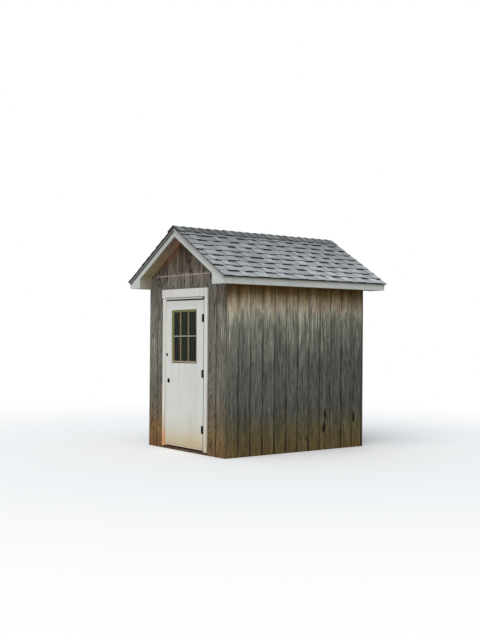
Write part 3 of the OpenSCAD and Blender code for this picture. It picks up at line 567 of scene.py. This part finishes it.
def window_wood():
    """The bare frame of the window: green at the left, olive on top, pinkish below with a painted
    shadow line at its foot, and dark at the right.
    """
    s = Surface("window_wood")
    grain = s.noise(90, 90, 8, 18.0, detail=4, rough=0.65, bend=0.4)
    cloud = s.noise(7, 7, 7, 21.0, detail=3)
    right, up = s.add(s.x, -WINDOW.x), s.add(s.z, -WINDOW.z)
    half_w, half_h = SASH_W / 2, SASH_H / 2
    color = s.mix(s.span(grain, 0.34, 0.68), (0.15, 0.115, 0.045), (0.27, 0.22, 0.085))
    left = s.fall(right, 0.044 - half_w, 0.048 - half_w)
    green = s.mix(s.span(grain, 0.34, 0.68), (0.12, 0.14, 0.045), (0.24, 0.27, 0.105))
    color = s.mix(left, color, green)
    low = s.mul(left, s.fall(s.add(up, s.mul(cloud, 0.2)), -0.06, 0.06), 0.55)
    color = s.mix(low, color, (0.34, 0.20, 0.09))
    top = s.span(up, half_h - 0.036, half_h - 0.030)
    olive = s.mix(s.span(cloud, 0.4, 0.6), (0.25, 0.215, 0.055), (0.18, 0.22, 0.08))
    color = s.mix(s.mul(top, 0.8), color, olive)
    sill = s.fall(up, 0.030 - half_h, 0.036 - half_h)
    color = s.mix(s.mul(sill, 0.8), color, (0.44, 0.36, 0.25))
    # a painted shadow line at the foot of the frame
    foot = s.fall(up, 0.010 - half_h, 0.016 - half_h)
    dark = s.most(foot, s.span(right, half_w - 0.034, half_w - 0.028))
    color = s.mix(s.mul(dark, 0.8), color, (0.075, 0.050, 0.034))
    s.finish(color, 0.8, grain, 0.0010, 0.6, 0.3)


def window_glass():
    """Old glass that looks green in the middle lites."""
    s = Surface("window_glass")
    dust = s.noise(14, 14, 3, 4.0, detail=4, rough=0.6)
    inner = s.within(s.x, WINDOW.x - 0.095, WINDOW.x + 0.085, 0.010)
    color = s.mix(inner, (0.22, 0.235, 0.19), (0.215, 0.265, 0.195))
    color = s.tint(color, s.span(dust, 0.3, 0.7, 0.75, 1.25))
    s.finish(color, s.span(dust, 0.35, 0.75, 0.03, 0.22), dust, 0.0003, 0.3,
             Transmission_Weight=0.96, IOR=1.14, Specular_Tint=(0.85, 1.0, 0.75, 1.0))


def muddy_shaded_sill():
    """The raw sill, stained with clay, and painted black as shade in the gap under the leaf."""
    s = Surface("sill")
    grain = s.noise(6, 70, 70, 15.0, detail=4, rough=0.65, bend=0.4)
    cloud = s.noise(4, 4, 9, 17.0, detail=3)
    color = s.mix(s.span(grain, 0.34, 0.68), (0.055, 0.034, 0.020), (0.15, 0.090, 0.048))
    color = s.mix(s.mul(s.span(cloud, 0.45, 0.7), 0.5), color, (0.20, 0.11, 0.05))
    color = s.mix(s.span(s.z, LEAF_LOW.z - 0.026, LEAF_LOW.z - 0.018), color, (0.008, 0.006, 0.005))
    s.finish(color, 0.9, grain, 0.0012, 0.7, 0.2)


def seam_metal():
    """The dull strip over the seam, tan, and dark reddish at its left end."""
    s = Surface("flashing")
    cloud = s.noise(9, 9, 9, 1.0, detail=4, rough=0.65)
    fine = s.noise(110, 110, 110, 0.0, 2, 0.6)
    color = s.mix(s.span(cloud, 0.42, 0.7), (0.47, 0.375, 0.30), (0.27, 0.205, 0.155))
    color = s.mix(s.mul(s.fall(s.x, -0.86, -0.72), 0.8), color, (0.085, 0.040, 0.026))
    color = s.tint(color, s.span(fine, 0.3, 0.7, 0.85, 1.15))
    s.finish(color, 0.7, fine, 0.0003, 0.6)


# mean colours of the siding at heights from the ground up: clay, then grey, and on the side walls
# bare tan wood and brown under the eave, darkest at the top partly as painted shade of the eave
SIDE = [(0.05, (0.128, 0.087, 0.033)), (0.36, (0.110, 0.092, 0.047)), (0.60, (0.100, 0.098, 0.085)),
        (1.10, (0.122, 0.119, 0.101)), (1.50, (0.170, 0.166, 0.140)), (1.70, (0.214, 0.213, 0.174)),
        (1.84, (0.325, 0.315, 0.236)), (1.93, (0.535, 0.470, 0.345)), (2.03, (0.440, 0.348, 0.230)),
        (2.14, (0.190, 0.130, 0.054)), (2.25, (0.084, 0.041, 0.006))]
FRONT = [(0.05, (0.150, 0.091, 0.037)), (0.28, (0.182, 0.123, 0.055)), (0.45, (0.150, 0.117, 0.073)),
         (0.80, (0.158, 0.140, 0.110)), (1.30, (0.175, 0.163, 0.130)), (1.90, (0.175, 0.166, 0.136)),
         (2.14, (0.156, 0.140, 0.117)), (2.28, (0.156, 0.142, 0.120)), (2.38, (0.188, 0.166, 0.137)),
         (2.47, (0.146, 0.121, 0.094)), (2.70, (0.135, 0.098, 0.066)), (2.95, (0.110, 0.072, 0.048))]
RAMP_TOP = 3.1  # the height at the end of the ramp that holds them
weathered_siding("side_siding", True, 0.0, SIDE, ragged=1.3, pale=(0.44, 0.41, 0.31),
                 blush=(0.45, 0.31, 0.225), fade=(1.13, 0.76), ring=0.14)
weathered_siding("front_siding", False, 7.0, FRONT, ragged=0.6, pale=(0.33, 0.31, 0.25),
                 blush=(0.18, 0.14, 0.11), fade=(1.0, 0.95), ring=0.36)
painted("rake_paint", (0.60, 0.62, 0.58), 1.0, 0.30, (90, 4, 90), rake_grime_and_shade)
painted("fascia_paint", (0.62, 0.64, 0.605), 1.0, 0.30, (90, 4, 90), fascia_grime_and_shade)
painted("return_paint", (0.58, 0.60, 0.56), 1.0, 0.30, (90, 4, 90), return_wear)
painted("frame_paint", (0.79, 0.765, 0.71), 5.0, 0.22, (120, 120, 4), frame_clay_and_gap_shadow)
door_paint()
soffit_wood()
bare_wood("timber", (0.50, 0.36, 0.20), (0.33, 0.21, 0.11), 2.0, (60, 60, 60))
bare_wood("stud_timber", (0.50, 0.36, 0.20), (0.33, 0.21, 0.11), 2.0, (110, 110, 5))
bare_wood("plate_timber", (0.48, 0.34, 0.19), (0.31, 0.20, 0.10), 6.0, (110, 5, 110))
bare_wood("plywood", (0.46, 0.33, 0.18), (0.33, 0.22, 0.12), 9.0, (12, 90, 12))
bare_wood("treated", (0.24, 0.19, 0.11), (0.13, 0.10, 0.055), 12.0, (90, 6, 90))
muddy_shaded_sill()
seam_metal()
granules()
plain_rough("asphalt", (0.010, 0.011, 0.010), (0.020, 0.022, 0.018), 40.0, 0.9, 0.0006)
# near black: on the drip edges partly painted shadow under the shingles' lip
plain_rough("drip", (0.012, 0.014, 0.010), (0.030, 0.034, 0.022), 30.0, 0.7, 0.0003)
window_wood()
bare_wood("bar_wood", (0.33, 0.275, 0.135), (0.21, 0.165, 0.070), 21.0, (120, 120, 9))
bare_wood("bead_wood", (0.40, 0.27, 0.13), (0.22, 0.13, 0.06), 27.0, (30, 30, 30))
bare_wood("bar_grey", (0.66, 0.65, 0.60), (0.46, 0.45, 0.41), 24.0, (9, 120, 120))
window_glass()
plain_rough("iron", (0.005, 0.005, 0.005), (0.011, 0.008, 0.006), 60.0, 0.8, 0.0003, 0.15)
plain_rough("nail", (0.075, 0.050, 0.035), (0.028, 0.018, 0.012), 90.0, 0.7, 0.0002)
plain_rough("steel", (0.020, 0.019, 0.018), (0.014, 0.010, 0.008), 80.0, 0.7, 0.0002, 0.3)

# the CAD nodes that wear each look
WEARS = {
    "side_siding": ["left_wall_siding", "right_wall_siding"],
    "front_siding": ["back_wall_siding", "back_gable_siding", "front_siding_left", "front_siding_right",
                     "front_siding_over_door", "front_gable_siding"],
    "rake_paint": ["front_rake_boards", "back_rake_boards", "rake_mouldings"],
    "fascia_paint": ["fascia_left", "fascia_right"],
    "return_paint": ["eave_returns"],
    "frame_paint": ["door_side_jambs", "door_head_jamb", "door_side_casings", "door_head_casing"],
    "door_paint": ["door_leaf"],
    "soffit": ["eave_soffits", "gable_soffits"],
    "stud_timber": ["left_wall_studs", "right_wall_studs", "front_wall_studs", "back_wall_studs"],
    "plate_timber": ["top_plates", "ridge_board", "door_header"],
    "timber": ["rafters"],
    "plywood": ["floor_sheet", "roof_sheet_left", "roof_sheet_right"],
    "treated": ["floor_sleepers", "bottom_plates"],
    "sill": ["door_sill"],
    "flashing": ["seam_flashing"],
    "granules": ["shingles_left", "shingles_right", "ridge_caps"],
    "window_wood": ["window_frame_outer", "window_frame_inner"],
    "window_glass": ["window_glass"],
    "iron": ["hinge_jamb_plates", "hinge_door_plates", "hinge_pins"],
    "steel": ["door_latch"],
}
for look, names in WEARS.items():
    for name in names:
        for place in nodes[name].material_slots:
            place.material = looks[look]

# pieces built here


class Pile:
    """Gathers slabs into one mesh, with a tone and a material for each face."""

    def __init__(self):
        self.points, self.faces, self.tones, self.kinds = [], [], [], []

    def slab(self, under, over, tone=0.5, top=0, side=0):
        """A closed solid between an underside and a top that have as many points, listed so that
        the top turns counterclockwise seen from outside; top and side number their materials."""
        n, first = len(under), len(self.points)
        self.points += [tuple(p) for p in under] + [tuple(p) for p in over]
        below, above = range(first, first + n), range(first + n, first + 2 * n)
        faces = [tuple(above), tuple(reversed(below))]
        faces += [(below[i], below[(i + 1) % n], above[(i + 1) % n], above[i]) for i in range(n)]
        self.faces += faces
        self.tones += [tone] * len(faces)
        self.kinds += [top] + [side] * (len(faces) - 1)

    def build(self, name, body, slot, materials):
        mesh = bpy.data.meshes.new(name)
        mesh.from_pydata(self.points, [], self.faces)
        tone = mesh.attributes.new("tone", "FLOAT", "FACE")
        tone.data.foreach_set("value", self.tones)
        for material in materials:
            mesh.materials.append(looks[material])
        mesh.polygons.foreach_set("material_index", self.kinds)
        piece = bpy.data.objects.new(name, mesh)
        scene.collection.objects.link(piece)
        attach(piece, body)
        return piece


class Course:
    """One course of laminated shingles, from its butt at low to its head at high, both measured
    level from the ridge."""
    HEAD, BUTT = 0.0054, 0.0122  # the base layer's top over the roof sheet, at head and butt
    LAP, TAB = -0.0005, 0.0048  # underside of a tab, pressed into the base, and its top
    DOWN = -1.0  # an underside that goes down to the roof sheet
    LAST = 0.0006  # how near the plates come to the ridge
    FLANKS, FLANK_TONE = (-3, -1), 0.20  # a plate's two ends, among the last faces of the pile
    NARROW, JOINT = 0.05, 0.0015  # the least width at the end of a course, and the gap of a joint

    def __init__(self, pile, side, low):
        self.pile, self.side, self.low = pile, side, low
        self.high = max(self.LAST, low - COURSE)

    def top(self, x):
        """Height of the base layer's top over the roof sheet."""
        return self.HEAD + (self.BUTT - self.HEAD) * (x - (self.low - COURSE)) / COURSE

    def plate(self, y0, y1, x0, x1, under, over, tone, skew=0.0, lift=0.0):
        """A plate from x0 (butt) to x1 (head), its underside and top measured from the base's top;
        skew narrows its head at both ends, and lift raises its butt."""
        loop = [(x0, y0), (x0, y1), (x1, y1 - skew), (x1, y0 + skew)]
        if self.side < 0:
            loop.reverse()
        bottom = [roof(self.side * x, y, max(SEAT, self.top(x) + under)) for x, y in loop]
        rise = {x0: over + lift, x1: over}
        cover = [roof(self.side * x, y, self.top(x) + rise[x]) for x, y in loop]
        self.pile.slab(bottom, cover, tone, side=1)
        for flank in self.FLANKS:
            self.pile.kinds[flank], self.pile.tones[flank] = 0, self.FLANK_TONE

    def base(self, rng, y0, y1, butt):
        """The base layer, pale where it shows and with a dark band just under the next course."""
        pale = rng.uniform(0.66, 0.84)
        line = self.high + rng.uniform(0.019, 0.032) * COS
        shade = rng.uniform(0.0, 0.04)
        self.plate(y0, y1, butt, line, self.DOWN, 0.0, pale)
        self.plate(y0, y1, line, max(self.LAST, self.high - 0.012), self.DOWN, 0.0, shade)

    def tab(self, rng, y0, y1, butt):
        """A tab glued on the base, and its end under the next course painted darker, as that course's
        shadow.
        """
        skew = rng.uniform(0.001, 0.007) if y1 - y0 > 0.03 else 0.0
        line = self.high + rng.uniform(0.003, 0.009) * COS
        start = y0 - 0.002 if y0 > -END_Y + 0.01 else y0
        self.plate(start, y1, butt - rng.uniform(0.0, 0.001), line, self.LAP, self.TAB,
                   rng.uniform(0.76, 1.0), skew, max(0.0, rng.gauss(-0.0003, 0.0007)))
        # the tab's head under the next butt is painted dark as its contact shadow
        self.plate(start + skew, y1 - skew, line, max(self.LAST, self.high - 0.010), self.LAP,
                   self.TAB, rng.uniform(0.10, 0.35))

    def lay(self, rng):
        """Units of random width, every other one with a tab, and a butt joint after each metre."""
        y = -END_Y + rng.uniform(0.0, 0.003)
        end = END_Y - rng.uniform(0.0, 0.003)
        joint = y + rng.uniform(0.3, 1.0)
        raised = rng.random() < 0.5
        while y < end - 0.001:
            width = rng.uniform(0.085, 0.20) if raised else rng.uniform(0.075, 0.185)
            stop = min(y + width, end)
            if end - stop < self.NARROW:
                stop = end
            if y < joint < stop and joint - y > 0.03:
                stop = joint
            butt = self.low - rng.uniform(0.0, 0.0016)
            self.base(rng, y, stop, butt)
            if raised:
                self.tab(rng, y, stop, butt)
            if stop == joint:
                joint += 1.0
                stop += self.JOINT
            else:
                raised = not raised
            y = stop


def shingle_side(name, side, seed):
    """The laminated shingles of one slope, from the eave up."""
    rng = random.Random(seed)
    pile = Pile()
    low = EAVE_X
    while low > 0.004:
        Course(pile, side, low).lay(rng)
        low -= COURSE
    piece = pile.build(name, "shed", "shingles", ["granules", "asphalt"])
    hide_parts("shingles_right" if side > 0 else "shingles_left")


def ridge_cover(seed):
    """Shingle pieces bent over the ridge; the thick front end of each lies on the one before."""
    rng = random.Random(seed)
    pile = Pile()
    count, lap, steps = 21, 0.02, 8
    reach, rounding = 0.140, 0.011  # half width of a piece, and how blunt its bend is
    front_top, back_top = 0.0272, 0.0172  # over the roof sheet
    front_thick, back_thick = 0.0090, 0.0048
    run = 2 * END_Y / count

    def bent(x, y, height):
        return (x, y, APEX - SLOPE * math.sqrt(x * x + rounding ** 2) + height / COS)

    for i in range(count):
        y0 = -END_Y + i * run + (rng.uniform(0.0, 0.006) if i else 0.0)
        y1 = min(END_Y, -END_Y + (i + 1) * run + lap)
        right = reach + rng.uniform(-0.004, 0.0)
        tone = rng.uniform(0.38, 0.76)
        left = right + rng.uniform(-0.004, 0.0)
        rise = rng.uniform(-0.0014, 0.0012)
        front, back = front_top + rise, back_top + rise
        row = [-left + (left + right) * k / (2 * steps) for k in range(2 * steps + 1)]
        for a, b in zip(row, row[1:]):
            over = [bent(a, y0, front), bent(b, y0, front), bent(b, y1, back), bent(a, y1, back)]
            under = [(x, y, z - (front_thick if y == y0 else back_thick) / COS) for x, y, z in over]
            pile.slab(under, over, tone, side=1)
    piece = pile.build("ridge_cover", "shed", "shingles", ["granules", "asphalt"])
    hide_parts("ridge_caps")


def on_window(loop):
    """Points given from the window's middle as (right, y, up), turned with the window."""
    cos, sin = math.cos(SASH_TURN), math.sin(SASH_TURN)
    return [(WINDOW.x + x * cos - z * sin, y, WINDOW.z + x * sin + z * cos) for x, y, z in loop]


def upright(pile, plan, end_z):
    """A bar on the window with a plan of (right, y) points, as far down as up."""
    pile.slab(*(on_window([(x, y, z) for x, y in plan]) for z in (-end_z, end_z)))


def window_bars():
    """The sash bars in front of the glass, two upright tan ones with a grey cross bar between them,
    and a narrow bead left of the glass. They stand askew with the window."""
    front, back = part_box("window_frame_outer")[0].y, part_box("window_glass")[0].y - SEAT
    clear, half, chamfer = 0.030, 0.012, 0.003  # half is half the width of an upright bar
    middles = [-0.100, 0.090]
    end_x, end_z = SASH_W / 2 - clear, SASH_H / 2 - clear
    pile = Pile()
    near = front + 0.0005
    for x in middles:
        left, right = x - half, x + half
        upright(pile, [(left, back), (left + chamfer, near), (right - chamfer, near), (right, back)], end_z)
    level, thin, near = 0.0045, 0.006, front + 0.002
    low, high = level - thin, level + thin
    profile = [(back, low), (back, high), (near, high - chamfer), (near, low + chamfer)]
    edges = [-end_x] + [x + d for x in middles for d in (-half, half)] + [end_x]
    for ends in zip(edges[::2], edges[1::2]):
        pile.slab(*(on_window([(x, y, z) for y, z in profile]) for x in ends), 0.5, 1, 1)
    pile.build("window_bars", "door", "window_wood", ["bar_wood", "bar_grey"])
    bead, wide, near = Pile(), 0.010, front + 0.001
    plan = [(-end_x, back), (-end_x, near), (wide / 2 - end_x, near), (wide - end_x, back)]
    upright(bead, plan, end_z)
    bead.build("window_bead", "door", "window_wood", ["window_wood"])


def slope_strip(pile, side, near, out, reach, low, top):
    """A strip down the slope from beside the ridge to reach, from near to out along y, and from the
    height low to the height top over the roof sheet."""
    loop = [(0.001, near), (reach, near), (reach, out), (0.001, out)]
    if side * near < 0:
        loop.reverse()
    pile.slab(*([roof(side * x, y, height) for x, y in loop] for height in (low, top)))


def drip_edges():
    """Thin dark metal strips under the shingles, along the eaves and the rakes, near black partly as
    painted shadow under the shingles' lip.
    """
    thick, play, rake_leg, eave_leg = 0.0008, 0.0003, 0.010, 0.014
    pile = Pile()
    for side in (-1, 1):
        x = side * (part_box("roof_sheet_right")[1].x + play)
        top = roof(x, 0.0, -SEAT)[2] - SLOPE * thick
        y = END_Y - 0.006
        loop = [(x, -y), (x, y), (x + side * thick, y), (x + side * thick, -y)]
        if side > 0:
            loop.reverse()
        pile.slab(*([(a, b, z) for a, b in loop] for z in (FASCIA_TOP - eave_leg, top)))
        for end in (-1, 1):
            near = end * (MOULDING_Y + play)
            slope_strip(pile, side, near, near + end * thick, EAVE_X - 0.024, -rake_leg, -SEAT)
    pile.build("drip_edges", "shed", "flashing", ["drip"])


def gable_beads():
    """A small square strip along the top of each gable wall, under the sloping soffit."""
    low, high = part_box("gable_soffits")
    wide, deep, play = 0.009, 0.008, 0.0001
    top = -(APEX - SLOPE * high.x - low.z) * COS - SEAT
    pile = Pile()
    for side in (-1, 1):
        for end in (-1, 1):
            near, out = end * (WALL_Y + play), end * (WALL_Y + deep)
            slope_strip(pile, side, near, out, high.x - 0.022, top - wide, top)
    pile.build("gable_beads", "shed", "raw_soffit", ["bead_wood"])


def round_head(pile, centre, out, radius, height):
    """A small domed head, sunk a little in a face that looks along out."""
    out = Vector(out)
    right = out.orthogonal().normalized()
    up = out.cross(right)
    corners = [(math.cos(math.tau * k / 8), math.sin(math.tau * k / 8)) for k in range(8)]
    foot, waist, crown = [
        [Vector(centre) + out * lift + right * (a * radius * size) + up * (b * radius * size)
         for a, b in corners]
        for lift, size in ((-0.0004, 1.0), (height * 0.6, 0.94), (height, 0.5))]
    pile.slab(foot, waist)
    pile.slab(waist, crown)


def nail_line(pile, rng, at, out, top, foot=0.045, sway=0.003, gaps=(0.20, 0.26),
              head=(0.0034, 0.0011)):
    """Nails one over another from foot up to top, at a place in plan on a face that looks along
    out; sway moves each sideways, gaps are the least and most between two, and head gives their
    radius and height."""
    z = foot
    while z < top:
        aside = rng.uniform(-sway, sway)
        round_head(pile, (at[0] + aside * abs(out[1]), at[1] + aside * abs(out[0]), z), out, *head)
        z += rng.uniform(*gaps)


def siding_nails(seed):
    """Rusty nail heads, beside every other groove of the long walls and in lines on the end walls."""
    rng = random.Random(seed)
    pile = Pile()
    wall_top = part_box("right_wall_siding")[1].z
    last = 6  # the grooves are numbered from the wall's middle, and the last ones lie further in
    for side in (-1, 1):
        for groove in range(-last, last + 1):
            beside = rng.uniform(0.016, 0.022) * (1 if groove < last else -1)
            y = groove * GROOVE * (0.985 if abs(groove) == last else 1.0) + beside
            if groove % 2 == 0:
                nail_line(pile, rng, (side * WALL_X, y), (side, 0, 0), wall_top - 0.06)
    for end in (-1, 1):
        for x in (-0.885, -0.610, -0.305, 0.305, 0.600, 0.885):
            in_doorway = end < 0 and abs(x) < 0.5
            if not in_doorway:
                nail_line(pile, rng, (x, end * WALL_Y), (0, end, 0), SEAM - 0.25)
    pile.build("siding_nails", "shed", "dark_iron", ["nail"])


def hinge_straps():
    """The leaves of the hinges that lap on the door's face, with their screws."""
    thick, bevel, face = 0.0012, 0.0004, LEAF_LOW.y
    x0, x1 = LEAF_HIGH.x - 0.045, LEAF_HIGH.x - 0.0015
    screws = ((0.36, 0.16), (0.64, 0.5), (0.36, 0.84))  # shares of a leaf's width and height
    pile = Pile()
    for z in HINGES:
        z0, z1 = z - HINGE_L / 2, z + HINGE_L / 2
        under = [(x, face + 0.0001, up) for x, up in ((x0, z0), (x1, z0), (x1, z1), (x0, z1))]
        a, b, c, d = x0 + bevel, x1 - bevel, z0 + bevel, z1 - bevel
        over = [(x, face - thick, up) for x, up in ((a, c), (b, c), (b, d), (a, d))]
        pile.slab(under, over)
        for across, share in screws:
            place = (x0 + across * (x1 - x0), face - thick, z0 + share * HINGE_L)
            round_head(pile, place, (0, -1, 0), 0.0032, 0.0008)
    pile.build("hinge_straps", "door", "dark_iron", ["iron"])


def trim_nails(seed):
    """Rusty nail heads in the casings and, in pairs, along the fascias."""
    rng = random.Random(seed)
    pile = Pile()
    head = (0.0026, 0.0006)
    low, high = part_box("door_side_casings")
    for x in (low.x + 0.024, high.x - 0.030):
        nail_line(pile, rng, (x, low.y), (0, -1, 0), CASING_LOW - 0.03, foot=0.12, sway=0.004,
                  gaps=(0.30, 0.38), head=head)
    for side in (-1, 1):
        y = -END_Y + 0.08
        while y < END_Y - 0.05:
            for z in (FASCIA_TOP - 0.025, FASCIA_TOP - 0.068):
                round_head(pile, (side * FASCIA_X, y, z), (side, 0, 0), *head)
            y += rng.uniform(0.38, 0.42)
    pile.build("trim_nails", "shed", "white_trim", ["nail"])


shingle_side("shingle_tabs_right", 1, 11)
shingle_side("shingle_tabs_left", -1, 23)
ridge_cover(5)
window_bars()
drip_edges()
gable_beads()
hinge_straps()
siding_nails(31)
trim_nails(37)

# camera, light and ground


def camera():
    """The camera of the photograph. Its angles, lens and place come from one fit to the shed's
    corners and grooves."""
    yaw, rise, roll = map(math.radians, (52.5704, 0.8180, 0.4445))
    place = (10.5095, -8.3489, 1.6130)
    ahead = Vector((-math.sin(yaw) * math.cos(rise), math.cos(yaw) * math.cos(rise), math.sin(rise)))
    level = Vector((math.cos(yaw), math.sin(yaw), 0.0))
    over = level.cross(ahead)
    right = math.cos(roll) * level + math.sin(roll) * over
    up = math.cos(roll) * over - math.sin(roll) * level
    data = bpy.data.cameras.new("camera")
    data.sensor_width, data.lens, data.clip_end = 36.0, 52.288, 500.0
    eye = bpy.data.objects.new("camera", data)
    turn = Matrix((right, up, -ahead)).transposed().to_4x4()
    eye.matrix_world = Matrix.Translation(place) @ turn
    scene.collection.objects.link(eye)
    scene.camera = eye


def daylight():
    """Soft even light: a pale world that is seen as white, and one broad lamp high in front."""
    world = bpy.data.worlds.new("world")
    scene.world = world
    world.use_nodes = True
    tree = world.node_tree
    tree.nodes.clear()
    sky = add_node(tree, "ShaderNodeBackground", {0: (0.90, 0.95, 1.0, 1.0), 1: 0.62})
    white = add_node(tree, "ShaderNodeBackground", {0: (1.0, 1.0, 1.0, 1.0), 1: 1.0})
    both = add_node(tree, "ShaderNodeMixShader", {0: seen_directly(tree), 1: sky, 2: white})
    add_node(tree, "ShaderNodeOutputWorld", {0: both})
    lamp = bpy.data.lights.new("lamp", "SUN")
    lamp.energy, lamp.angle, lamp.color = 1.5, math.radians(50), (1.0, 0.985, 0.96)
    key = bpy.data.objects.new("lamp", lamp)
    key.rotation_euler = Vector((-0.35, 0.75, -1.25)).to_track_quat("-Z", "Y").to_euler()
    scene.collection.objects.link(key)


def ground():
    """A pale floor that turns into the white background further out."""
    s = Surface("ground")
    s.finish((0.62, 0.61, 0.59), 0.95, shine=0.1)
    away = s.node("ShaderNodeVectorMath", {0: s.at}, operation="LENGTH").outputs[1]
    bright = s.node("ShaderNodeBsdfDiffuse", {0: (0.93, 0.93, 0.93, 1.0)})
    glow = s.node("ShaderNodeEmission", {0: (1.0, 1.0, 1.0, 1.0), 1: 1.0})
    far = s.node("ShaderNodeMixShader", {0: s.span(away, 3.5, 9.0), 1: bright, 2: glow})
    both = s.node("ShaderNodeMixShader", {0: seen_directly(s.tree), 1: s.shader, 2: far})
    s.tree.links.new(both.outputs[0], s.output.inputs[0])
    mesh = bpy.data.meshes.new("ground")
    size = 60.0
    corners = [(-size, -size, 0), (size, -size, 0), (size, size, 0), (-size, size, 0)]
    mesh.from_pydata(corners, [], [(0, 1, 2, 3)])
    mesh.materials.append(s.material)
    floor = bpy.data.objects.new("ground", mesh)
    floor.location.z = -0.001
    scene.collection.objects.link(floor)


camera()
daylight()
ground()
